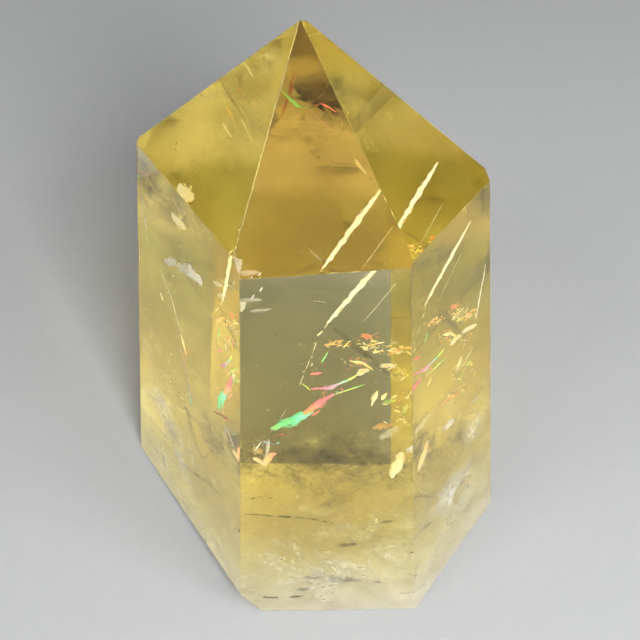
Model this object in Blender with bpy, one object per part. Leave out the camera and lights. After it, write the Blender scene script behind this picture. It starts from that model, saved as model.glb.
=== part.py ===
"""Citrine crystal point.

One yellow quartz crystal, ground and polished all over: a six-sided prism that
narrows a little towards the top, a pointed end with six facets, and a flat sawn
base that it stands on. It is made here the way a lapidary makes it: a rough
block is ground back to one plane after another, and then every sharp edge is
eased with a polishing radius.

Metres, +Z up. The front facet of the prism faces -Y and the base stands on
z = 0. The origin is the middle of the crystal's bounding box, at its base.
"""

from math import cos, radians, sin

import bmesh
import bpy
from mathutils import Matrix, Vector

NODE_NAME = "crystal_point"
MM = 0.001

# The finished crystal.
HEIGHT = 75.2 * MM           # base to the blunted tip
EDGE_RADIUS = 0.15 * MM      # how far the polishing wheel eased each edge
EDGE_STEPS = 2               # flat steps that make up that radius

# The rough block that everything is ground from.
ROUGH_WIDTH = 90.0 * MM
ROUGH_HEIGHT = 90.0 * MM

# A facet's facing is the compass direction of its outward normal, in degrees
# from the front (-Y), positive towards the right (+X). Its lean is how far that
# normal points above the horizontal, in degrees.

# Prism: facing, lean, and distance from the axis to the facet at the base.
PRISM_FACETS = {
    "front": (0.0, 4.4, 23.3 * MM),
    "front_right": (56.6, 4.2, 23.9 * MM),
    "back_right": (116.4, 3.0, 19.85 * MM),
    "back": (177.4, 4.3, 22.65 * MM),
    "back_left": (-122.4, 4.2, 24.0 * MM),
    "front_left": (-62.0, 4.3, 19.4 * MM),
}

# Pointed end: facing, lean, and height at which the facet's plane meets the axis.
TIP_FACETS = {
    "front": (-3.4, 42.9, 75.9 * MM),
    "front_right": (59.0, 46.1, 75.45 * MM),
    "back_right": (122.0, 40.6, 75.3 * MM),
    "back": (177.7, 44.65, 74.75 * MM),
    "back_left": (-127.0, 44.4, 75.2 * MM),
    "front_left": (-64.8, 36.9, 76.05 * MM),
}

# A low bevel under the front left side, where the saw cut broke away. It starts
# from nothing at the left corner and is tallest at the front corner.
BASE_BEVEL_FACING = -57.8
BASE_BEVEL_LEAN = -32.3
BASE_BEVEL_REACH = 15.35 * MM   # straight distance from the origin to the plane

# Citrine: clear yellow quartz.
CITRINE_COLOUR = (0.86, 0.66, 0.24, 1.0)
CITRINE_ROUGHNESS = 0.05
QUARTZ_IOR = 1.55

# Points closer to a cutting plane than this count as lying on it.
ON_PLANE = 1.0e-7

# Where three eased edges meet, corners closer together than this become one.
SMALLEST_EDGE = 0.02 * MM


def clear_scene():
    """Remove whatever objects the file opened with."""
    for item in list(bpy.data.objects):
        bpy.data.objects.remove(item, do_unlink=True)


def facet_normal(facing, lean):
    """The outward normal of a facet with this facing and lean, in degrees."""
    turn = radians(facing)
    rise = radians(lean)
    return Vector((sin(turn) * cos(rise), -cos(turn) * cos(rise), sin(rise)))


def rough_block():
    """A box of rough quartz, standing on z = 0."""
    stone = bmesh.new()
    bmesh.ops.create_cube(stone, size=1.0)
    size = Matrix.Diagonal((ROUGH_WIDTH, ROUGH_WIDTH, ROUGH_HEIGHT, 1.0))
    lift = Matrix.Translation((0.0, 0.0, ROUGH_HEIGHT / 2))
    bmesh.ops.transform(stone, matrix=lift @ size, verts=stone.verts)
    return stone


def grind(stone, point, normal):
    """Take away everything outside a plane, and close the cut with a facet."""
    cut = bmesh.ops.bisect_plane(
        stone,
        geom=stone.verts[:] + stone.edges[:] + stone.faces[:],
        dist=ON_PLANE,
        plane_co=point,
        plane_no=normal,
        clear_outer=True,
    )
    rim = [item for item in cut["geom_cut"] if isinstance(item, bmesh.types.BMEdge)]
    if rim:
        bmesh.ops.holes_fill(stone, edges=rim, sides=0)


def grind_prism(stone):
    """Grind the six sides."""
    for facing, lean, reach in PRISM_FACETS.values():
        outward = facet_normal(facing, 0.0)
        grind(stone, outward * reach, facet_normal(facing, lean))


def grind_tip(stone):
    """Grind the six facets of the point, and blunt its very end."""
    for facing, lean, peak in TIP_FACETS.values():
        grind(stone, Vector((0.0, 0.0, peak)), facet_normal(facing, lean))
    grind(stone, Vector((0.0, 0.0, HEIGHT)), Vector((0.0, 0.0, 1.0)))


def grind_base_bevel(stone):
    """Grind the low bevel under the front left side."""
    normal = facet_normal(BASE_BEVEL_FACING, BASE_BEVEL_LEAN)
    grind(stone, normal * BASE_BEVEL_REACH, normal)


def edge_planes(stone):
    """The planes that touch a round bar of EDGE_RADIUS laid inside each edge."""
    stone.normal_update()
    planes = []
    for edge in stone.edges:
        first, second = (face.normal.copy() for face in edge.link_faces)
        inset = EDGE_RADIUS / (1.0 + first.dot(second))
        bar = edge.verts[0].co - (first + second) * inset
        for step in range(1, EDGE_STEPS + 1):
            normal = first.slerp(second, step / (EDGE_STEPS + 1))
            planes.append((bar + normal * EDGE_RADIUS, normal))
    return planes


def ease_edges(stone):
    """Polish every edge back to a small radius."""
    for point, normal in edge_planes(stone):
        grind(stone, point, normal)
    bmesh.ops.remove_doubles(stone, verts=stone.verts, dist=SMALLEST_EDGE)


def centre_on_origin(stone):
    """Put the middle of the bounding box over the origin, standing on z = 0."""
    xs = [vert.co.x for vert in stone.verts]
    ys = [vert.co.y for vert in stone.verts]
    zs = [vert.co.z for vert in stone.verts]
    middle = Vector(((min(xs) + max(xs)) / 2, (min(ys) + max(ys)) / 2, min(zs)))
    bmesh.ops.translate(stone, vec=-middle, verts=stone.verts)


def citrine():
    """Clear yellow quartz."""
    material = bpy.data.materials.new("citrine")
    material.use_nodes = True
    shader = material.node_tree.nodes["Principled BSDF"]
    shader.inputs["Base Color"].default_value = CITRINE_COLOUR
    shader.inputs["Roughness"].default_value = CITRINE_ROUGHNESS
    shader.inputs["Metallic"].default_value = 0.0
    shader.inputs["IOR"].default_value = QUARTZ_IOR
    shader.inputs["Transmission Weight"].default_value = 1.0
    material.diffuse_color = CITRINE_COLOUR
    return material


def crystal_point(collection):
    """The whole crystal, as one solid."""
    stone = rough_block()
    grind_prism(stone)
    grind_tip(stone)
    grind_base_bevel(stone)
    ease_edges(stone)
    centre_on_origin(stone)
    bmesh.ops.recalc_face_normals(stone, faces=stone.faces)

    mesh = bpy.data.meshes.new(NODE_NAME)
    stone.to_mesh(mesh)
    stone.free()
    mesh.materials.append(citrine())
    crystal = bpy.data.objects.new(NODE_NAME, mesh)
    collection.objects.link(crystal)
    return crystal


def main():
    clear_scene()
    collection = bpy.data.collections.new("citrine_crystal_point")
    bpy.context.scene.collection.children.link(collection)
    crystal_point(collection)


main()
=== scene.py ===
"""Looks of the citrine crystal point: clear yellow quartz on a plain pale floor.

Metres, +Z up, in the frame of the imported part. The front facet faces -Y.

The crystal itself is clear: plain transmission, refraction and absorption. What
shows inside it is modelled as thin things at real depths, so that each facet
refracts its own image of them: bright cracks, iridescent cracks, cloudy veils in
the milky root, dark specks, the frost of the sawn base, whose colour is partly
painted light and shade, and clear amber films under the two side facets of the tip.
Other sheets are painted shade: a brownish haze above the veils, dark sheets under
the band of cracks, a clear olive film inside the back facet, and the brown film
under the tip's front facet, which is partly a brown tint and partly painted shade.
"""

import random
from math import cos, pi, radians, sin

import bmesh
import bpy
from mathutils import Matrix, Vector, noise


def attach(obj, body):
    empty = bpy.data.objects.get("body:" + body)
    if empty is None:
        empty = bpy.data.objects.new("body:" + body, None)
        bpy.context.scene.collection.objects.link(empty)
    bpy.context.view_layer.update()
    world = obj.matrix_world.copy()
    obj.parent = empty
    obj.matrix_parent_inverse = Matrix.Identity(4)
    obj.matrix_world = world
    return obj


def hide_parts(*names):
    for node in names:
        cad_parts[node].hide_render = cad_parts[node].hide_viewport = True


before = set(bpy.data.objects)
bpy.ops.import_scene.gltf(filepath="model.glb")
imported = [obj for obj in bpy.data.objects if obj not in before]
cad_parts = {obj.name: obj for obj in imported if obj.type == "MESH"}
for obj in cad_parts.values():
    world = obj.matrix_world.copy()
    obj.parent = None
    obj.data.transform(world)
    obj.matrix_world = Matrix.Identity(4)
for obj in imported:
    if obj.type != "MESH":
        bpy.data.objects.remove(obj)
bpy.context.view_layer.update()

MM = 0.001

# The camera of the photograph.
CAMERA_AT = Vector((1.37, -133.45, 159.13)) * MM
CAMERA_DOWN = 43.965          # degrees below the horizontal
CAMERA_ROLL = -0.81           # degrees
CAMERA_LENS = 81.34           # mm
SENSOR_WIDTH = 36.0           # mm

# Citrine.
QUARTZ_IOR = 1.55
CITRINE_DENSITY = 30.0
CITRINE_TAKES = (1.5, 3.6, 18.0)    # red, green and blue absorbed per metre
SMALLEST_FACET = 15 * MM * MM       # anything smaller belongs to an eased edge
EASED = 0.06 * MM                   # how far the front edges are eased
SKIN = 0.3 * MM                     # inner pieces stay this far inside the crystal
FILM_DEPTH = 0.2 * MM               # the colour zones lie this far under their facets
FROST_DEPTH = 0.03 * MM             # the frost lies this far above the sawn face
WISP_HEIGHT = 0.35                  # mm; the wisps lie this high above the sawn face

# The sawn base: golden round its heart, whiter towards its rim. This is partly its own
# colour and partly painted light and shade: lighter at the rim, where light comes in
# through the sides, and darker golden in the middle and behind it.
GOLDEN_SHADED_HEART = (0.0, 6 * MM, 0.0)
GOLDEN_SQUEEZE = (1.4, 1.0, 1.0)    # the golden part is narrower from side to side
GOLDEN_REACH = (5 * MM, 24 * MM)    # between these distances it turns white
FROST_COLOURS_AND_PAINTED_LIGHT = [
    (0.0, (0.60, 0.54, 0.36)),
    (0.3, (0.68, 0.62, 0.43)),
    (0.6, (0.79, 0.74, 0.54)),
    (1.0, (0.90, 0.87, 0.75)),
]
BROWN_BLOTCH = (0.50, 0.42, 0.24, 1.0)
BROWN_STREAK = (0.36, 0.29, 0.15, 1.0)
WHITE_FLECK = (1.0, 0.99, 0.93, 1.0)

# The sweep: a round floor that curves up into a wall.
FLOOR_RADIUS = 0.9
SWEEP_RADIUS = 0.6
WALL_HEIGHT = 0.9
FLOOR_GAP = 0.1 * MM                # between the sawn base and the floor
SWEEP_STEPS = 16                    # flat steps up the curve
SWEEP_TURNS = 96                    # flat steps round the floor
FLOOR_GREY = (0.25, 0.253, 0.253)

WORLD_GREY = (0.80, 0.82, 0.86)
WORLD_STRENGTH = 0.50

# Soft square lamps: where they hang and their width, in metres, and their power, in watts.
LAMPS = {
    "front": dict(spot=(0.10, -0.36, 0.30), width=0.15, power=4.6),
    "right": dict(spot=(0.30, -0.25, 0.32), width=0.20, power=1.6),
    "left": dict(spot=(-0.22, -0.235, 0.35), width=0.16, power=0.75),
}
LAMPS_AIM = Vector((0.0, 0.0, 0.03))

# Most cracks face this way: up and forwards.
CRACK_FACING = Vector((0.05, -0.72, 0.69))

# Clear coloured films just inside a facet: amber growth zones, a brown film that is
# partly painted shade, and an olive film that is painted shade. Each table says how
# much red, green and blue light gets through, at shares of the way up the zone.
TIP_ZONE = (53 * MM, 75 * MM)       # between these heights the tip's zones change colour
OLIVE_SHADE_HEIGHT = 40 * MM              # the top of the olive zone

# Brown, under the tip's front facet: partly a brown tint in the stone, partly painted
# shade that darkens the facet upwards, nearly black at the apex.
SMOKE_FACING = CRACK_FACING
SMOKE_AND_SHADE_PASSES = [
    (0.0, (0.86, 0.72, 0.84)),
    (0.3, (0.84, 0.63, 0.64)),
    (0.55, (0.86, 0.61, 0.44)),
    (0.78, (0.98, 0.64, 0.28)),
    (0.93, (0.80, 0.54, 0.22)),
    (0.96, (0.16, 0.10, 0.03)),
    (1.0, (0.12, 0.08, 0.02)),
]

# Amber, under the two facets beside it.
AMBER_LEFT_FACING = Vector((-0.72, -0.34, 0.60))
AMBER_LEFT_PASSES = [
    (0.0, (1.0, 1.0, 1.0)),
    (0.15, (0.86, 0.83, 0.94)),
    (0.3, (0.72, 0.68, 0.86)),
    (0.6, (0.72, 0.67, 0.84)),
    (1.0, (0.80, 0.76, 0.90)),
]
AMBER_RIGHT_FACING = Vector((0.59, -0.36, 0.72))
AMBER_RIGHT_PASSES = [
    (0.0, (1.0, 1.0, 1.0)),
    (0.15, (0.78, 0.76, 0.96)),
    (0.45, (0.72, 0.68, 0.92)),
    (0.75, (0.98, 0.97, 1.0)),
]

# Painted shade: a clear olive film inside the prism's back facet darkens and yellows
# what shows through it, standing in for the crystal's shadow on the floor behind.
OLIVE_FACING = Vector((0.0, 1.0, 0.0))
OLIVE_SHADE_PASSES = [
    (0.0, (0.96, 0.95, 0.90)),
    (0.3, (1.0, 1.0, 0.84)),
    (0.4, (0.93, 0.94, 0.74)),
    (0.6, (0.76, 0.78, 0.55)),
    (0.81, (0.72, 0.75, 0.52)),
    (0.88, (1.0, 1.0, 1.0)),
]

# The build of a ribbon: a crack, a flake, a shade or a wisp.
RIBBON_STEP = 0.3 * MM              # length of one of its cells
RIBBON_RAGGED = 0.35                # how much its width varies, as a share of it
RIBBON_WANDER = 0.12                # how far its middle line strays, as a share of its width
RIBBON_CUP = 0.12                   # how far its middle bulges, as a share of half its width
RIBBON_RIPPLE = 0.15                # how deep its ripples are, as a share of half its width

# The build of a veil: a crumpled sheet of cloud.
VEIL_POINTS = 13                    # points along each side
VEIL_FOLD = 4 * MM                  # size of its folds
VEIL_DEPTH = 1.5 * MM               # depth of its folds

SPECK_SIZE = 0.14                   # mm, half the width of a speck
SPECK_SPREAD = 0.05                 # mm, how much that varies
CROWD_SEED = 11
VEIL_SEED = 4

# Interference colours of a thin film, from thin to thick.
FILM_COLOURS = [
    (0.00, (0.75, 0.85, 0.95)),
    (0.10, (1.00, 0.98, 0.88)),
    (0.20, (1.00, 0.86, 0.40)),
    (0.30, (1.00, 0.45, 0.12)),
    (0.38, (0.95, 0.22, 0.35)),
    (0.46, (0.70, 0.35, 0.85)),
    (0.54, (0.35, 0.75, 0.95)),
    (0.62, (0.15, 0.95, 0.65)),
    (0.72, (0.60, 1.00, 0.30)),
    (0.82, (1.00, 0.85, 0.35)),
    (0.92, (1.00, 0.50, 0.50)),
    (1.00, (0.85, 0.55, 0.85)),
]

# Bright cracks: the middle line of each and its width, in mm.
CRACKS = {
    "long": dict(
        line=[(9.6, 9.9, 43.2), (5.8, 6.3, 39.7), (2.2, 2.9, 36.4)],
        width=0.9, strength=0.95,
    ),
    "long_2": dict(
        line=[(7.6, 7.6, 41.6), (5.2, 5.2, 39.4), (3.4, 3.3, 37.9)],
        width=0.22, strength=0.9,
    ),
    "beside_long": dict(
        line=[(10.5, 3.7, 42.2), (8.5, 2.2, 39.9), (6.5, 0.8, 37.6)],
        width=0.13, strength=0.5,
    ),
    "trail_1": dict(line=[(2.4, 3.1, 36.4), (1.9, 3.5, 35.3)], width=0.2),
    "trail_2": dict(line=[(1.7, 3.7, 34.8), (1.0, 3.9, 33.9)], width=0.3),
    "trail_3": dict(line=[(0.9, 3.2, 33.2), (0.3, 1.9, 31.9)], width=0.14, strength=0.8),
    "trail_4": dict(line=[(0.1, 1.5, 31.5), (-0.5, 0.3, 30.3)], width=0.16, strength=0.8),
    "trail_5": dict(line=[(-0.7, -0.1, 29.8), (-1.3, -1.3, 28.6)], width=0.14, strength=0.8),
    "trail_6": dict(line=[(-2.9, -4.9, 26.9), (-3.8, -6.9, 26.1)], width=0.14, strength=0.6),
    "trail_7": dict(line=[(-4.4, -8.0, 25.7), (-5.0, -9.2, 25.3)], width=0.16, strength=0.6),
    "trail_8": dict(line=[(-6.0, -11.0, 24.9), (-6.9, -12.7, 24.2)], width=0.22),
    "top_line": dict(line=[(2.1, -3.3, 43.1), (1.3, -0.7, 41.8), (0.5, 1.8, 40.6)], width=0.2),
    "right_line": dict(
        line=[(18.0, 0.9, 40.7), (17.5, -0.2, 37.3), (17.0, -1.6, 33.8)],
        width=0.45, strength=2.0,
    ),
    "right_chip": dict(line=[(8.8, 7.0, 26.9), (11.1, 10.2, 25.4)], width=1.0, strength=2.0),
    "right_bright": dict(line=[(5.9, 6.8, 25.7), (7.5, 9.1, 25.3)], width=1.2, strength=2.0),
    "right_lower": dict(line=[(7.8, 6.0, 20.8), (8.6, 7.5, 22.5)], width=0.8, strength=2.0),
    "right_thin": dict(line=[(12.1, 1.4, 24.6), (13.6, 3.9, 25.7)], width=0.2),
    "right_spot": dict(line=[(12.0, -7.9, 20.9), (13.8, -5.4, 20.2)], width=1.4, strength=2.5),
    "right_dash_1": dict(line=[(14.5, -5.7, 20.1), (15.2, -4.6, 20.3)], width=0.2),
    "right_dash_2": dict(line=[(16.4, -2.8, 20.0), (17.9, -0.6, 19.1)], width=0.25),
    "left_line": dict(
        line=[(-14.5, 5.3, 36.3), (-13.1, 2.3, 33.9), (-11.9, -0.7, 29.7)],
        width=0.22,
    ),
    "left_white": dict(line=[(-12.9, 5.8, 37.6), (-11.0, 2.7, 40.2)], width=1.5, strength=2.5),
    "left_fish": dict(
        line=[(-11.0, 2.7, 39.7), (-9.1, -0.6, 41.7), (-7.4, -3.7, 42.4)],
        width=2.4, strength=2.5,
    ),
    "left_bit": dict(line=[(-12.3, 3.0, 37.7), (-11.9, 2.2, 38.1)], width=0.4),
    "left_grains": dict(line=[(-14.9, 5.3, 32.4), (-14.6, 4.7, 31.6)], width=0.5),
    "edge_dash_1": dict(line=[(-18.7, 6.3, 46.6), (-18.6, 5.9, 45.0)], width=0.35),
    "edge_dash_2": dict(line=[(-18.7, 5.9, 44.0), (-18.6, 5.5, 41.9)], width=0.5),
    "edge_dash_3": dict(line=[(-18.6, 5.3, 41.0), (-18.2, 4.5, 40.2)], width=0.4),
    "edge_streak": dict(line=[(-20.5, 6.8, 38.4), (-20.7, 6.6, 35.3)], width=0.3),
    "corner_dash_1": dict(line=[(-6.3, -12.0, 48.4), (-5.9, -12.3, 49.2)], width=0.22),
    "corner_dash_2": dict(line=[(-5.3, -13.2, 50.1), (-4.9, -13.5, 50.9)], width=0.22),
    "spindle": dict(
        line=[(-5.2, -9.1, 24.1), (-5.2, -12.5, 24.4), (-5.8, -16.4, 24.4)],
        width=0.6, strength=1.2,
    ),
    "pale_dash_1": dict(line=[(-7.6, -8.7, 46.5), (-5.2, -8.7, 46.5)], width=0.9, strength=0.3),
    "pale_dash_2": dict(line=[(-6.6, -8.9, 44.9), (-4.1, -8.8, 45.2)], width=0.8, strength=0.26),
}

# Iridescent cracks. film is the place along FILM_COLOURS at either end.
RAINBOWS = {
    "feather": dict(
        line=[(-4.9, -6.3, 24.2), (-2.2, -3.5, 23.9), (0.3, -2.5, 25.0)],
        width=1.9, film=(0.68, 0.56),
    ),
    "rose": dict(
        line=[(-0.9, -2.9, 24.6), (1.0, -2.4, 26.1), (2.9, -0.4, 26.7)],
        width=1.4, film=(0.30, 0.44),
    ),
    "streak": dict(
        line=[(0.1, 0.5, 27.0), (2.5, 2.2, 26.2), (4.9, 3.2, 26.9)],
        width=0.7, film=(0.38, 0.54),
    ),
    "lime": dict(line=[(4.4, 3.2, 26.7), (5.9, 4.1, 27.2)], width=0.6, film=(0.68, 0.78)),
    "pale_arc": dict(
        line=[(5.0, 5.3, 28.9), (6.7, 6.1, 28.1), (8.0, 6.8, 26.5)],
        width=0.6, film=(0.12, 0.20),
    ),
    "green_fleck": dict(line=[(1.5, 3.5, 29.7), (2.3, 3.7, 31.4)], width=0.35, film=(0.62, 0.70)),
    "rose_fleck_1": dict(line=[(0.0, 1.6, 28.9), (1.5, 1.6, 29.1)], width=0.6, film=(0.36, 0.42)),
    "rose_fleck_2": dict(line=[(0.1, -3.4, 24.7), (1.2, -3.3, 25.5)], width=0.4, film=(0.38, 0.34)),
    "lime_line": dict(
        line=[(2.7, 1.2, 25.4), (4.8, 2.2, 25.8), (6.9, 3.1, 26.2)],
        width=0.22, film=(0.80, 0.66),
    ),
    "oval_1": dict(
        line=[(9.4, 8.0, 20.2), (11.0, 8.0, 20.4)],
        width=1.0, film=(0.70, 0.76), strength=0.5,
    ),
    "oval_2": dict(
        line=[(11.6, 0.9, 22.1), (12.2, 1.1, 23.9)],
        width=1.0, film=(0.72, 0.78), strength=0.5,
    ),
    "bowl": dict(
        line=[(-7.0, -16.0, 24.9), (-5.7, -16.1, 24.2), (-4.2, -15.1, 25.3)],
        width=1.6, film=(0.18, 0.32),
    ),
    "left_loop": dict(
        line=[(-12.1, -0.2, 30.2), (-11.7, -1.1, 28.9), (-11.4, -1.8, 28.0)],
        width=0.9, film=(0.12, 0.30),
    ),
    "left_rose": dict(
        line=[(-12.6, -0.4, 27.8), (-12.0, -1.1, 26.5), (-11.4, -2.5, 23.4)],
        width=0.25, film=(0.40, 0.46),
    ),
    "left_blue": dict(
        line=[(-11.5, -2.4, 23.6), (-11.4, -2.9, 21.8), (-11.2, -3.4, 20.4)],
        width=0.6, film=(0.50, 0.56),
    ),
    "left_arc": dict(
        line=[(-4.7, -3.7, 21.4), (-3.6, -7.1, 23.8), (-3.3, -9.2, 24.8)],
        width=0.7, film=(0.40, 0.30),
    ),
    "left_lime": dict(line=[(-1.0, -5.6, 31.6), (0.1, -7.7, 31.5)], width=0.3, film=(0.72, 0.78)),
    "left_gold": dict(
        line=[(-10.3, 5.7, 45.9), (-9.4, 3.9, 46.0), (-8.4, 2.2, 46.3)],
        width=2.4, film=(0.14, 0.20), strength=2.0,
    ),
    "left_peach": dict(
        line=[(-7.0, -11.0, 23.9), (-6.2, -12.6, 23.6)],
        width=1.6, film=(0.20, 0.24), strength=0.6,
    ),
    "right_peach": dict(
        line=[(7.8, -1.2, 21.0), (10.4, 2.5, 19.4)],
        width=1.4, film=(0.22, 0.28), strength=0.7,
    ),
    "right_leaf": dict(
        line=[(10.0, -15.3, 20.7), (11.2, -13.1, 23.9)],
        width=2.0, film=(0.18, 0.22), strength=0.7,
    ),
    "right_fleck": dict(line=[(8.7, -8.4, 30.2), (9.3, -7.8, 31.0)], width=0.7, film=(0.20, 0.24)),
    "right_pale": dict(
        line=[(8.5, -13.9, 26.7), (10.7, -10.5, 26.8)],
        width=1.8, film=(0.14, 0.18), strength=0.4,
    ),
}

# Crowds of small flakes: their middle, how far they spread, how many there are,
# their smallest and largest length, in mm, and their range of FILM_COLOURS.
CROWDS = {
    "band_left": dict(
        middle=(3.8, 4.7, 32.1), reach=(1.9, 0.5, 0.5),
        count=40, length=(0.2, 1.0), film=(0.12, 0.36),
    ),
    "band_glow": dict(
        middle=(7.4, 6.5, 32.2), reach=(1.5, 0.4, 0.5),
        count=26, length=(0.3, 1.2), film=(0.24, 0.36),
    ),
    "band_middle": dict(
        middle=(8.0, 6.9, 30.4), reach=(2.0, 0.4, 1.0),
        count=60, length=(0.2, 1.2), film=(0.08, 0.26),
    ),
    "band_right": dict(
        middle=(10.9, 6.8, 29.6), reach=(1.8, 0.4, 0.7),
        count=40, length=(0.2, 1.1), film=(0.12, 0.32),
    ),
    "band_end": dict(
        middle=(11.0, 3.6, 28.0), reach=(1.8, 0.6, 1.2),
        count=26, length=(0.2, 0.9), film=(0.08, 0.26),
    ),
    "blue": dict(
        middle=(-5.4, -12.0, 25.3), reach=(1.3, 0.4, 0.5),
        count=30, length=(0.15, 0.6), film=(0.42, 0.60),
    ),
    "fan": dict(
        middle=(2.5, 0.5, 26.6), reach=(2.8, 1.5, 1.0),
        count=34, length=(0.12, 0.6), film=(0.28, 0.60),
    ),
    "arc": dict(
        middle=(5.4, 5.0, 28.6), reach=(2.0, 0.8, 1.0),
        count=34, length=(0.12, 0.7), film=(0.08, 0.44),
    ),
    "trail": dict(
        middle=(0.2, 1.6, 31.8), reach=(1.6, 0.6, 3.4),
        count=22, length=(0.1, 0.4), film=(0.05, 0.2),
    ),
    "front_root": dict(
        middle=(1.0, -11.0, 14.0), reach=(8.5, 5.0, 6.5),
        count=130, length=(0.1, 0.5), film=(0.04, 0.26),
    ),
    "left_root": dict(
        middle=(-14.0, 1.0, 15.0), reach=(3.0, 5.5, 7.0),
        count=60, length=(0.2, 0.9), film=(0.02, 0.20),
    ),
    "right_root": dict(
        middle=(14.5, -3.0, 14.0), reach=(3.0, 5.0, 6.0),
        count=50, length=(0.15, 0.7), film=(0.02, 0.20),
    ),
    "right_flakes": dict(
        middle=(13.0, 0.0, 24.0), reach=(3.5, 3.5, 4.0),
        count=50, length=(0.2, 1.0), film=(0.08, 0.24),
    ),
    "middle": dict(
        middle=(0.0, 0.0, 26.0), reach=(9.0, 6.0, 6.0),
        count=60, length=(0.08, 0.3), film=(0.06, 0.40),
    ),
}

# Cloudy sheets in the root: their middle, how far they spread, how many there are,
# their smallest and largest radius, in mm, and how thick the thickest is.
CLOUDS = {
    "base": dict(
        middle=(0.0, 0.0, 3.0), reach=(16.0, 16.0, 3.0),
        count=16, radius=(4, 8), thick=0.5,
    ),
    "front": dict(
        middle=(1.0, -18.0, 6.0), reach=(11.0, 2.5, 5.0),
        count=22, radius=(2.5, 6), thick=1.0,
    ),
    "left": dict(
        middle=(-16.5, -4.0, 9.0), reach=(5.0, 8.0, 7.0),
        count=32, radius=(2.5, 6), thick=1.0,
    ),
    "left_high": dict(
        middle=(-19.0, 3.0, 18.0), reach=(2.0, 3.0, 8.0),
        count=12, radius=(1.5, 4), thick=1.0,
    ),
    "right": dict(
        middle=(16.0, -9.0, 9.0), reach=(5.0, 8.0, 6.0),
        count=24, radius=(2.5, 6), thick=1.0,
    ),
    "back": dict(
        middle=(1.0, 17.0, 4.5), reach=(14.0, 4.0, 4.0),
        count=12, radius=(3, 6), thick=0.7,
    ),
}

# Painted shade: brownish, less bright sheets above them, standing in for the contact
# shadow behind the crystal seen through its front.
HAZE_SHADE_SHEETS = {
    "shadow_band": dict(
        middle=(0.5, -9.0, 20.3), reach=(14.0, 3.0, 3.0),
        count=46, radius=(3.5, 7.0), thick=1.0,
    ),
}

# The colours of those sheets; the brown is painted shade.
CLOUD_WHITE = (0.98, 0.97, 0.93)
HAZE_SHADE_BROWN = (0.30, 0.24, 0.07)

# Painted shadow: dark brown and olive sheets that let some light through, under the
# band of bright cracks.
PAINTED_SHADOW_SHEETS = {
    "under_band_shadow": dict(
        line=[(3.0, 5.8, 34.0), (6.5, 6.3, 30.1), (10.1, 6.7, 25.5)],
        width=1.1, strength=0.35,
    ),
    "under_band_shadow_2": dict(line=[(5.0, 6.0, 31.0), (8.0, 6.4, 28.6)], width=0.9, strength=0.25),
}

# The darkest and lightest brown in them.
PAINTED_SHADOW_TONES = [(0.3, (0.05, 0.045, 0.008)), (0.7, (0.10, 0.085, 0.02))]

# Dark wisps on the sawn base: x and y of their ends, in mm.
WISPS = {
    "middle_left": dict(line=[(-9.5, 6.5), (-0.8, 4.9)], width=0.6),
    "middle": dict(line=[(-0.8, 4.9), (3.4, 2.9)], width=0.5),
    "back_left": dict(line=[(-8.6, 11.4), (-5.6, 11.6)], width=0.9),
    "right": dict(line=[(9.2, 3.2), (11.4, 4.0)], width=0.9),
    "centre": dict(line=[(3.2, -4.0), (6.0, -3.4)], width=1.2),
    "front": dict(line=[(-1.4, -13.8), (5.6, -14.0)], width=1.3),
    "front_2": dict(line=[(1.4, -14.8), (6.6, -14.6)], width=0.9),
    "front_left": dict(line=[(-7.2, -19.4), (-4.6, -19.8)], width=0.8),
    "front_left_2": dict(line=[(-4.4, -19.8), (-1.4, -19.4)], width=0.7),
    "brown": dict(line=[(-2.2, -17.3), (0.2, -17.3)], width=1.0),
    "front_right": dict(line=[(7.6, -15.6), (9.2, -15.2)], width=0.3),
    "far_right": dict(line=[(12.4, -6.4), (14.8, -6.0)], width=0.4),
}

# Dark specks, in mm.
SPECKS = [
    (-14.5, 1.2, 57.8), (-14.7, 0.7, 57.3), (-6.6, -7.1, 62.6), (-11.0, -3.0, 59.7),
    (-17.1, 0.9, 51.8), (1.5, -9.8, 64.0), (-9.1, -10.9, 57.5), (0.5, 1.9, 40.4),
    (-3.6, -12.6, 43.3), (-0.3, 0.8, 30.2),
]


# ---------------------------------------------------------------- node helpers

def new_material(name):
    """A node material, its Principled shader and its node tree."""
    material = bpy.data.materials.new(name)
    material.use_nodes = True
    tree = material.node_tree
    return material, tree.nodes["Principled BSDF"], tree


def plug(tree, value, socket):
    """Set a socket, or link an output to it."""
    if isinstance(value, bpy.types.NodeSocket):
        tree.links.new(value, socket)
    else:
        socket.default_value = value


def calc(tree, operation, first, second=0.0, third=0.0, clamp=False):
    """A Math node."""
    node = tree.nodes.new("ShaderNodeMath")
    node.operation = operation
    node.use_clamp = clamp
    for socket, value in zip(node.inputs, (first, second, third)):
        plug(tree, value, socket)
    return node.outputs[0]


def attribute(tree, name):
    """A value stored on the mesh."""
    node = tree.nodes.new("ShaderNodeAttribute")
    node.attribute_name = name
    return node.outputs["Fac"]


def place(tree, stretch=(1.0, 1.0, 1.0)):
    """The place on the object, in metres, stretched along its axes."""
    coordinates = tree.nodes.new("ShaderNodeTexCoord")
    mapping = tree.nodes.new("ShaderNodeMapping")
    mapping.inputs["Scale"].default_value = stretch
    tree.links.new(coordinates.outputs["Object"], mapping.inputs["Vector"])
    return mapping.outputs["Vector"]


def height(tree, vector):
    """The Z of a vector."""
    node = tree.nodes.new("ShaderNodeSeparateXYZ")
    tree.links.new(vector, node.inputs["Vector"])
    return node.outputs["Z"]


def clouds(tree, vector, size, detail=4.0, roughness=0.55):
    """Noise whose features are about this size, in metres."""
    node = tree.nodes.new("ShaderNodeTexNoise")
    node.inputs["Scale"].default_value = 1.0 / size
    node.inputs["Detail"].default_value = detail
    node.inputs["Roughness"].default_value = roughness
    tree.links.new(vector, node.inputs["Vector"])
    return node.outputs["Fac"]


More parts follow.
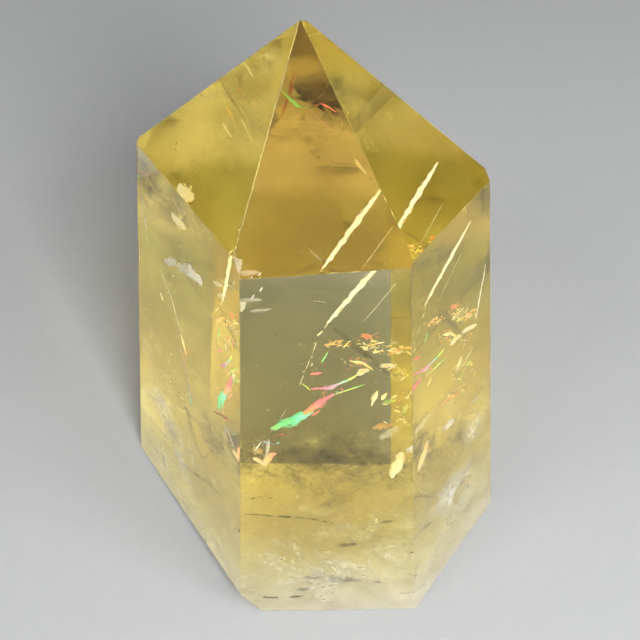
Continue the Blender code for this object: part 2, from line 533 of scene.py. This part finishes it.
def spread(tree, value, low, high, new_low=0.0, new_high=1.0):
    """A value mapped smoothly from one range to another."""
    node = tree.nodes.new("ShaderNodeMapRange")
    node.interpolation_type = "SMOOTHSTEP"
    plug(tree, value, node.inputs["Value"])
    node.inputs["From Min"].default_value = low
    node.inputs["From Max"].default_value = high
    node.inputs["To Min"].default_value = new_low
    node.inputs["To Max"].default_value = new_high
    return node.outputs["Result"]


def ramp(tree, factor, stops):
    """Colours along a factor; stops are (place, colour)."""
    node = tree.nodes.new("ShaderNodeValToRGB")
    elements = node.color_ramp.elements
    while len(elements) < len(stops):
        elements.new(0.5)
    for element, (at, colour) in zip(elements, stops):
        element.position = at
        element.color = (*colour, 1.0)
    plug(tree, factor, node.inputs["Fac"])
    return node.outputs["Color"]


def blend(tree, factor, first, second):
    """A mix of two colours; a Mix node keeps its colour sockets at 6 and 7."""
    node = tree.nodes.new("ShaderNodeMix")
    node.data_type = "RGBA"
    plug(tree, factor, node.inputs[0])
    plug(tree, first, node.inputs[6])
    plug(tree, second, node.inputs[7])
    return node.outputs[2]


# ------------------------------------------------------------------- materials

def citrine_material():
    """Clear yellow quartz: plain transmission, refraction and absorption."""
    material, shader, tree = new_material("citrine_clear")
    haze = clouds(tree, place(tree), 3.0 * MM)
    polish = calc(tree, "MULTIPLY", haze, 0.02)
    roughness = calc(tree, "MULTIPLY_ADD", attribute(tree, "worn"), 0.12, polish)
    plug(tree, roughness, shader.inputs["Roughness"])
    shader.inputs["Base Color"].default_value = (1.0, 1.0, 1.0, 1.0)
    shader.inputs["IOR"].default_value = QUARTZ_IOR
    shader.inputs["Transmission Weight"].default_value = 1.0
    absorb = tree.nodes.new("ShaderNodeVolumeAbsorption")
    tint = [1.0 - taken / CITRINE_DENSITY for taken in CITRINE_TAKES]
    absorb.inputs["Color"].default_value = (*tint, 1.0)
    absorb.inputs["Density"].default_value = CITRINE_DENSITY
    tree.links.new(absorb.outputs["Volume"], tree.nodes["Material Output"].inputs["Volume"])
    return material


def frost_material():
    """The sawn base: quartz broken into frost, white at the rim and golden inside, partly painted
    light and shade.
    """
    material, shader, tree = new_material("citrine_sawn")
    where = place(tree)
    from_shaded_heart = tree.nodes.new("ShaderNodeVectorMath")
    from_shaded_heart.operation = "DISTANCE"
    tree.links.new(place(tree, GOLDEN_SQUEEZE), from_shaded_heart.inputs[0])
    from_shaded_heart.inputs[1].default_value = GOLDEN_SHADED_HEART
    # Painted light and shade: lighter towards the rim, darker golden round the heart.
    colour = ramp(tree, spread(tree, from_shaded_heart.outputs["Value"], *GOLDEN_REACH), FROST_COLOURS_AND_PAINTED_LIGHT)
    blotches = spread(tree, clouds(tree, where, 6 * MM), 0.38, 0.68, 0.0, 0.35)
    colour = blend(tree, blotches, colour, BROWN_BLOTCH)
    streaks = clouds(tree, place(tree, (1.0, 2.5, 1.0)), 3 * MM, 6.0, 0.7)
    colour = blend(tree, spread(tree, streaks, 0.56, 0.70, 0.0, 0.5), colour, BROWN_STREAK)
    flecks = spread(tree, clouds(tree, where, 1.2 * MM, 6.0, 0.75), 0.56, 0.72, 0.0, 0.7)
    colour = blend(tree, flecks, colour, WHITE_FLECK)
    plug(tree, colour, shader.inputs["Base Color"])
    plug(tree, spread(tree, height(tree, where), 0.1 * MM, 0.3 * MM, 1.0, 0.6), shader.inputs["Alpha"])
    shader.inputs["Roughness"].default_value = 0.7
    return material


def fibres(tree):
    """Fine noise drawn out along a crack."""
    ends = tree.nodes.new("ShaderNodeCombineXYZ")
    plug(tree, calc(tree, "MULTIPLY", attribute(tree, "along"), 0.5), ends.inputs["X"])
    plug(tree, calc(tree, "MULTIPLY", attribute(tree, "beside"), 4.0), ends.inputs["Y"])
    return clouds(tree, ends.outputs["Vector"], 1.0, 4.0, 0.6)


def feathered(tree, threads, rag):
    """How much of a crack is there: all of it in the middle, threads at its rim."""
    middle = calc(tree, "SUBTRACT", 1.0, calc(tree, "ABSOLUTE", attribute(tree, "across")))
    ragged = calc(tree, "MULTIPLY_ADD", threads, rag, -0.55 * rag)
    cover = spread(tree, calc(tree, "ADD", middle, ragged), 0.0, 0.45)
    return calc(tree, "MULTIPLY", cover, attribute(tree, "strength"))


def crack_material():
    """A crack with air in it: a bright, silvery film with threaded edges."""
    material, shader, tree = new_material("citrine_crack")
    threads = fibres(tree)
    plug(tree, feathered(tree, threads, 2.4), shader.inputs["Alpha"])
    colour = ramp(tree, threads, [(0.36, (0.95, 0.78, 0.42)), (0.48, (1.0, 1.0, 1.0))])
    plug(tree, colour, shader.inputs["Base Color"])
    shader.inputs["Roughness"].default_value = 0.5
    return material


def rainbow_material():
    """A crack so thin that the air film in it shows interference colours."""
    material, shader, tree = new_material("citrine_iridescent")
    threads = fibres(tree)
    drift = calc(tree, "MULTIPLY_ADD", threads, 0.30, -0.15)
    film = calc(tree, "ADD", attribute(tree, "film"), drift, clamp=True)
    plug(tree, ramp(tree, film, FILM_COLOURS), shader.inputs["Base Color"])
    plug(tree, feathered(tree, threads, 2.2), shader.inputs["Alpha"])
    shader.inputs["Metallic"].default_value = 0.15
    shader.inputs["Roughness"].default_value = 0.4
    return material


def veil_material(name, colour):
    """Clouds of tiny bubbles; in brown, the sheets are painted shade."""
    material, shader, tree = new_material("citrine_" + name)
    where = place(tree)
    billow = spread(tree, clouds(tree, where, 5 * MM, 8.0, 0.65), 0.44, 0.72)
    grain = spread(tree, clouds(tree, where, 0.8 * MM, 3.0), 0.35, 0.7, 0.30, 1.0)
    body = calc(tree, "MULTIPLY", billow, grain)
    cover = calc(tree, "MULTIPLY", body, attribute(tree, "thick"), clamp=True)
    plug(tree, cover, shader.inputs["Alpha"])
    shader.inputs["Base Color"].default_value = (*colour, 1.0)
    shader.inputs["Roughness"].default_value = 0.9
    return material


def tinted_material(name, share, passes):
    """A clear coloured layer that bends nothing; passes is the light it lets through."""
    material, shader, tree = new_material("citrine_" + name)
    where = place(tree)
    drift = calc(tree, "MULTIPLY_ADD", clouds(tree, where, 4 * MM, 5.0), 0.08, -0.04)
    level = calc(tree, "ADD", share(tree, where), drift, clamp=True)
    plug(tree, ramp(tree, level, passes), shader.inputs["Base Color"])
    shader.inputs["Roughness"].default_value = 0.0
    shader.inputs["IOR"].default_value = 1.0
    shader.inputs["Transmission Weight"].default_value = 1.0
    return material


def tip_material(name, passes):
    """The film under one facet of the tip: each amber growth zone, and the brown film, partly painted
    shade.
    """
    def share(tree, where):
        return spread(tree, height(tree, where), *TIP_ZONE)
    return tinted_material(name, share, passes)


def olive_shade_material():
    """Painted shade: a faint olive film at the back, for the crystal's shadow on the floor behind."""
    def share(tree, where):
        return calc(tree, "DIVIDE", height(tree, where), OLIVE_SHADE_HEIGHT)
    return tinted_material("olive_shade", share, OLIVE_SHADE_PASSES)


def painted_shadow_material(name, tones):
    """Painted shadow: a dark brownish sheet with threaded edges."""
    material, shader, tree = new_material("citrine_" + name)
    plug(tree, feathered(tree, fibres(tree), 0.8), shader.inputs["Alpha"])
    tone = clouds(tree, place(tree), 1.0 * MM)
    plug(tree, ramp(tree, tone, tones), shader.inputs["Base Color"])
    shader.inputs["Roughness"].default_value = 0.9
    return material


def wisp_material():
    """Dark, broken threads of clay in the sawn base."""
    material, shader, tree = new_material("citrine_wisp")
    grain = spread(tree, clouds(tree, place(tree), 0.7 * MM, 4.0, 0.7), 0.40, 0.54)
    cover = calc(tree, "MULTIPLY", feathered(tree, fibres(tree), 2.0), grain)
    plug(tree, cover, shader.inputs["Alpha"])
    tone = clouds(tree, place(tree), 1.0 * MM)
    colour = ramp(tree, tone, [(0.3, (0.045, 0.045, 0.015)), (0.7, (0.14, 0.12, 0.05))])
    plug(tree, colour, shader.inputs["Base Color"])
    shader.inputs["Roughness"].default_value = 0.9
    return material


def speck_material():
    """Iron-dark specks."""
    material, shader, tree = new_material("citrine_speck")
    tone = clouds(tree, place(tree), 0.5 * MM)
    colour = ramp(tree, tone, [(0.3, (0.05, 0.03, 0.01)), (0.7, (0.16, 0.09, 0.03))])
    plug(tree, colour, shader.inputs["Base Color"])
    shader.inputs["Roughness"].default_value = 0.8
    return material


def floor_material():
    """Plain matt paper."""
    material, shader, tree = new_material("floor_paper")
    grain = clouds(tree, place(tree), 2.0 * MM)
    light = tuple(level * 1.03 for level in FLOOR_GREY)
    colour = ramp(tree, grain, [(0.3, FLOOR_GREY), (0.7, light)])
    plug(tree, colour, shader.inputs["Base Color"])
    shader.inputs["Roughness"].default_value = 0.85
    return material


# --------------------------------------------------------------------- crystal

def faceted_stone():
    """The crystal ground to the planes of the CAD solid's facets.

    Only the edges that meet in front are eased; the others stay sharp, so that no
    dark lines show through the clear stone.
    """
    model = bmesh.new()
    model.from_mesh(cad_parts["crystal_point"].data)
    bmesh.ops.remove_doubles(model, verts=model.verts, dist=1e-6)
    bmesh.ops.dissolve_limit(model, angle_limit=radians(0.3), verts=model.verts, edges=model.edges)
    model.normal_update()
    stone = bmesh.new()
    bmesh.ops.create_cube(stone, size=1.0)
    for face in model.faces:
        if face.calc_area() > SMALLEST_FACET:
            grind(stone, face.calc_center_median(), face.normal)
    model.free()
    stone.normal_update()
    front = [
        edge for edge in stone.edges
        if all(abs(face.normal.z) < 0.9 and face.normal.y < 0.0 for face in edge.link_faces)
    ]
    bmesh.ops.bevel(stone, geom=front, offset=EASED, segments=2, profile=0.5, affect="EDGES")
    bmesh.ops.recalc_face_normals(stone, faces=stone.faces)
    stone.normal_update()
    return stone


def grind(stone, point, normal):
    """Take away everything outside a plane, and close the cut."""
    cut = bmesh.ops.bisect_plane(
        stone, geom=stone.verts[:] + stone.edges[:] + stone.faces[:], dist=1e-7,
        plane_co=point, plane_no=normal, clear_outer=True,
    )
    rim = [item for item in cut["geom_cut"] if isinstance(item, bmesh.types.BMEdge)]
    if rim:
        bmesh.ops.holes_fill(stone, edges=rim, sides=0)


def add_piece(name, mesh, material):
    """An object that belongs to the crystal."""
    mesh.materials.clear()
    mesh.materials.append(material)
    piece = bpy.data.objects.new(name, mesh)
    bpy.context.scene.collection.objects.link(piece)
    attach(piece, "root")
    return piece


def crystal(stone):
    """The visible crystal: flat facets with slightly worn edges between."""
    mesh = bpy.data.meshes.new("crystal")
    stone.to_mesh(mesh)
    worn = mesh.attributes.new("worn", "FLOAT", "FACE")
    for polygon in mesh.polygons:
        worn.data[polygon.index].value = 1.0 if polygon.area < SMALLEST_FACET else 0.0
    piece = add_piece("crystal", mesh, citrine_material())
    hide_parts("crystal_point")


def frost(stone):
    """A skin of frost just inside the sawn base, thinner on the bevel beside it."""
    sheet = stone.copy()
    upper = [face for face in sheet.faces if face.normal.z > -0.3]
    bmesh.ops.delete(sheet, geom=upper, context="FACES")
    bmesh.ops.translate(sheet, vec=(0, 0, FROST_DEPTH), verts=sheet.verts)
    mesh = bpy.data.meshes.new("frost")
    sheet.to_mesh(mesh)
    sheet.free()
    add_piece("frost", mesh, frost_material())


# ---------------------------------------------------------------- inner pieces

class Sheets:
    """Collects thin sheets with values on their points, and makes one mesh."""

    def __init__(self, stone, *names):
        self.planes = [(face.calc_center_median(), face.normal.copy()) for face in stone.faces]
        self.points = []
        self.faces = []
        self.values = {name: [] for name in names}

    def kept(self, point):
        """The point, moved inside the crystal's skin if it was outside."""
        for centre, normal in self.planes:
            proud = (point - centre).dot(normal) + SKIN
            if proud > 0.0:
                point = point - normal * proud
        return point

    def point(self, spot, **values):
        """One point, kept inside the crystal."""
        self.points.append(self.kept(spot))
        for name, value in values.items():
            self.values[name].append(value)

    def grid(self, rows, columns):
        """The faces between the last rows x columns points."""
        start = len(self.points) - rows * columns
        for row in range(rows - 1):
            for column in range(columns - 1):
                corner = start + row * columns + column
                self.faces.append((corner, corner + 1, corner + columns + 1, corner + columns))

    def piece(self, name, material):
        """The finished object."""
        mesh = bpy.data.meshes.new(name)
        mesh.from_pydata(self.points, [], self.faces)
        for face in mesh.polygons:
            face.use_smooth = True
        for key, data in self.values.items():
            mesh.attributes.new(key, "FLOAT", "POINT").data.foreach_set("value", data)
        return add_piece(name, mesh, material)


def along_line(points, share):
    """The place a share of the way along a line of points."""
    span = share * (len(points) - 1)
    first = min(int(span), len(points) - 2)
    return points[first] + (points[first + 1] - points[first]) * (span - first)


def ribbon(sheets, line, width, facing=CRACK_FACING, film=(0.0, 0.0), strength=1.0, seed=0):
    """A pointed, cupped and slightly rippled sheet along a line, facing about one way."""
    axis = (line[-1] - line[0]).normalized()
    facing = (facing - axis * facing.dot(axis)).normalized()
    side = axis.cross(facing)
    reach = (line[-1] - line[0]).length
    rows = max(4, min(24, int(reach / RIBBON_STEP)))
    columns = 7 if width > 0.5 * MM else 3
    for row in range(rows):
        share = row / (rows - 1)
        ragged = noise.noise(Vector((seed * 7.3, share * reach / MM * 1.3, 1.0)))
        half = width / 2 * sin(pi * (0.04 + 0.92 * share)) ** 0.6 * (1.0 + RIBBON_RAGGED * ragged)
        stray = noise.noise(Vector((seed * 3.1, share * reach / MM, 7.0)))
        spine = along_line(line, share) + side * width * RIBBON_WANDER * stray
        for column in range(columns):
            across = 2.0 * column / (columns - 1) - 1.0
            ripple = noise.noise(Vector((seed * 5.7, share * reach / MM * 2.0, across * width / MM)))
            lift = half * (RIBBON_CUP * (1.0 - across ** 2) + RIBBON_RIPPLE * ripple)
            sheets.point(
                spine + side * half * across + facing * lift,
                across=across,
                along=share * reach / MM + seed * 11.0,
                beside=half * across / MM,
                film=film[0] + (film[1] - film[0]) * share,
                strength=strength,
            )
    sheets.grid(rows, columns)


def in_metres(points):
    """Points given in mm; those without a height lie just above the frost."""
    return [Vector(point if len(point) == 3 else (*point, WISP_HEIGHT)) * MM for point in points]


def crack_sheets(stone):
    """An empty collection of ribbons."""
    return Sheets(stone, "across", "along", "beside", "film", "strength")


def ribbons(sheets, shapes, **common):
    """All the ribbons of one table."""
    for seed, shape in enumerate(shapes.values()):
        shape = dict(shape, line=in_metres(shape["line"]), width=shape["width"] * MM)
        ribbon(sheets, seed=seed, **shape, **common)


def near(chance, middle, reach):
    """A random place near another one; both are given in mm."""
    return Vector([at + chance.gauss(0, 0.5) * far for at, far in zip(middle, reach)]) * MM


def crowd(sheets, chance, middle, reach, count, length, film):
    """Many small flakes scattered about a place."""
    for number in range(count):
        spot = near(chance, middle, reach)
        facing = (CRACK_FACING + Vector([chance.gauss(0, 0.12) for _ in range(3)])).normalized()
        turn = Vector((1.0, chance.gauss(0.2, 0.5), chance.gauss(-0.1, 0.5))).normalized()
        size = length[0] + (length[1] - length[0]) * chance.random() ** 2
        half = turn * size * MM / 2
        tint = chance.uniform(*film)
        ribbon(
            sheets, [spot - half, spot + half], size * chance.uniform(0.25, 0.6) * MM, facing,
            (tint, tint + chance.uniform(-0.05, 0.05)), chance.uniform(0.5, 1.0), number,
        )


def cracks(stone):
    """The bright cracks, as one object."""
    sheets = crack_sheets(stone)
    ribbons(sheets, CRACKS)
    sheets.piece("cracks", crack_material())


def rainbows(stone):
    """The iridescent cracks and the crowds of small flakes, as one object."""
    chance = random.Random(CROWD_SEED)
    sheets = crack_sheets(stone)
    ribbons(sheets, RAINBOWS)
    for shape in CROWDS.values():
        crowd(sheets, chance, **shape)
    sheets.piece("rainbows", rainbow_material())


def wisps(stone):
    """Dark wisps on the sawn base, as one object."""
    sheets = crack_sheets(stone)
    ribbons(sheets, WISPS, strength=0.65)
    sheets.piece("wisps", wisp_material())


def veils(name, stone, shapes, colour):
    """All the cloudy sheets of one table, as one object."""
    chance = random.Random(VEIL_SEED)
    sheets = Sheets(stone, "thick")
    for shape in shapes.values():
        for _ in range(shape["count"]):
            middle = near(chance, shape["middle"], shape["reach"])
            radius = chance.uniform(*shape["radius"]) * MM
            veil(sheets, chance, middle, radius, shape["thick"] * chance.uniform(0.5, 1.0))
    sheets.piece(name, veil_material(name, colour))


def veil(sheets, chance, middle, radius, thick):
    """One crumpled sheet of cloud that fades out at its rim."""
    facing = Vector((chance.gauss(0, 0.5), chance.gauss(0, 0.5), 1.0)).normalized()
    side = facing.orthogonal().normalized()
    other = facing.cross(side)
    shift = Vector((chance.uniform(0, 100), 0, 0))
    for row in range(VEIL_POINTS):
        for column in range(VEIL_POINTS):
            u = 2.0 * row / (VEIL_POINTS - 1) - 1.0
            v = 2.0 * column / (VEIL_POINTS - 1) - 1.0
            spot = middle + (side * u + other * v) * radius
            lift = noise.noise(spot / VEIL_FOLD + shift) * VEIL_DEPTH
            fade = max(0.0, 1.0 - (u * u + v * v))
            sheets.point(spot + facing * lift, thick=thick * fade)
    sheets.grid(VEIL_POINTS, VEIL_POINTS)


def facet_film(name, stone, facing, material):
    """A film just inside the largest facet that faces this way."""
    sheet = stone.copy()
    facet = max(sheet.faces, key=lambda face: face.calc_area() * face.normal.dot(facing) ** 9)
    inwards = facet.normal * -FILM_DEPTH
    bmesh.ops.delete(sheet, geom=[face for face in sheet.faces if face != facet], context="FACES")
    bmesh.ops.translate(sheet, vec=inwards, verts=sheet.verts)
    mesh = bpy.data.meshes.new(name)
    sheet.to_mesh(mesh)
    sheet.free()
    add_piece(name, mesh, material)


def painted_shadows(name, stone, shapes, tones):
    """All the painted shadows of one table, as one object."""
    sheets = crack_sheets(stone)
    ribbons(sheets, shapes)
    sheets.piece(name, painted_shadow_material(name, tones))


def specks(stone):
    """Dark specks, as one object."""
    sheets = Sheets(stone)
    side = CRACK_FACING.orthogonal().normalized()
    other = CRACK_FACING.cross(side)
    for number, spot in enumerate(SPECKS):
        centre = Vector(spot) * MM
        size = (SPECK_SIZE + SPECK_SPREAD * noise.noise(Vector((number, 3.1, 0)))) * MM
        for u, v in ((-1, -1), (-1, 1), (1, -1), (1, 1)):
            sheets.point(centre + side * u * size + other * v * size * 0.7)
        sheets.grid(2, 2)
    sheets.piece("specks", speck_material())


# ----------------------------------------------------------------------- stage

def sweep():
    """A round floor whose rim curves up into a low wall."""
    profile = [(0.0, 0.0), (FLOOR_RADIUS, 0.0)]
    for step in range(1, SWEEP_STEPS + 1):
        turn = radians(90.0) * step / SWEEP_STEPS
        profile.append((FLOOR_RADIUS + SWEEP_RADIUS * sin(turn), SWEEP_RADIUS * (1 - cos(turn))))
    profile.append((FLOOR_RADIUS + SWEEP_RADIUS, WALL_HEIGHT))
    shape = bmesh.new()
    points = [shape.verts.new((x, 0.0, z)) for x, z in profile]
    edges = [shape.edges.new(pair) for pair in zip(points, points[1:])]
    bmesh.ops.spin(
        shape, geom=points + edges, cent=(0, 0, 0), axis=(0, 0, 1),
        angle=2 * pi, steps=SWEEP_TURNS, use_merge=True,
    )
    bmesh.ops.remove_doubles(shape, verts=shape.verts, dist=1e-5)
    bmesh.ops.recalc_face_normals(shape, faces=shape.faces)
    for face in shape.faces:
        face.smooth = True
    mesh = bpy.data.meshes.new("sweep")
    shape.to_mesh(mesh)
    shape.free()
    mesh.materials.append(floor_material())
    floor = bpy.data.objects.new("sweep", mesh)
    bpy.context.scene.collection.objects.link(floor)
    floor.location.z = -FLOOR_GAP


def area_light(name, spot, width, power):
    """A square soft light at a spot, facing the crystal."""
    light = bpy.data.lights.new(name, "AREA")
    light.shape = "SQUARE"
    light.size = width
    light.energy = power
    lamp = bpy.data.objects.new(name, light)
    bpy.context.scene.collection.objects.link(lamp)
    lamp.location = spot
    lamp.rotation_euler = (LAMPS_AIM - Vector(spot)).to_track_quat("-Z", "Y").to_euler()


def lights():
    """An even pale sky and the soft lamps."""
    world = bpy.data.worlds.new("studio")
    bpy.context.scene.world = world
    world.use_nodes = True
    background = world.node_tree.nodes["Background"]
    background.inputs["Color"].default_value = (*WORLD_GREY, 1.0)
    background.inputs["Strength"].default_value = WORLD_STRENGTH
    for name, lamp in LAMPS.items():
        area_light(name, **lamp)


def camera():
    """The camera that took the photograph."""
    data = bpy.data.cameras.new("camera")
    data.lens = CAMERA_LENS
    data.sensor_width = SENSOR_WIDTH
    data.clip_start = 0.01
    data.clip_end = 20.0
    eye = bpy.data.objects.new("camera", data)
    bpy.context.scene.collection.objects.link(eye)
    tilt = Matrix.Rotation(radians(90.0 - CAMERA_DOWN), 4, "X")
    roll = Matrix.Rotation(radians(CAMERA_ROLL), 4, "Z")
    eye.matrix_world = Matrix.Translation(CAMERA_AT) @ tilt @ roll
    bpy.context.scene.camera = eye


def looks():
    """Colours as they are, and enough bounces for light to find its way through the stone."""
    scene = bpy.context.scene
    scene.view_settings.view_transform = "Standard"
    scene.cycles.max_bounces = 20
    scene.cycles.transmission_bounces = 20
    scene.cycles.glossy_bounces = 12
    scene.cycles.transparent_max_bounces = 24


stone = faceted_stone()
crystal(stone)
frost(stone)
cracks(stone)
rainbows(stone)
veils("clouds", stone, CLOUDS, CLOUD_WHITE)
# The haze is painted shade: brown sheets standing in for the contact shadow behind the crystal.
veils("haze", stone, HAZE_SHADE_SHEETS, HAZE_SHADE_BROWN)
# The brown film is partly painted shade: darker upwards, nearly black at the apex.
facet_film("smoke_and_shade", stone, SMOKE_FACING, tip_material("smoke_and_shade", SMOKE_AND_SHADE_PASSES))
facet_film("amber_left", stone, AMBER_LEFT_FACING, tip_material("amber_left", AMBER_LEFT_PASSES))
facet_film("amber_right", stone, AMBER_RIGHT_FACING, tip_material("amber_right", AMBER_RIGHT_PASSES))
# The olive film is painted shade, darkening what shows through the back facet.
facet_film("olive_shade", stone, OLIVE_FACING, olive_shade_material())
# Painted shadow under the band of bright cracks.
painted_shadows("painted_shadows", stone, PAINTED_SHADOW_SHEETS, PAINTED_SHADOW_TONES)
wisps(stone)
specks(stone)
sweep()
lights()
camera()
looks()
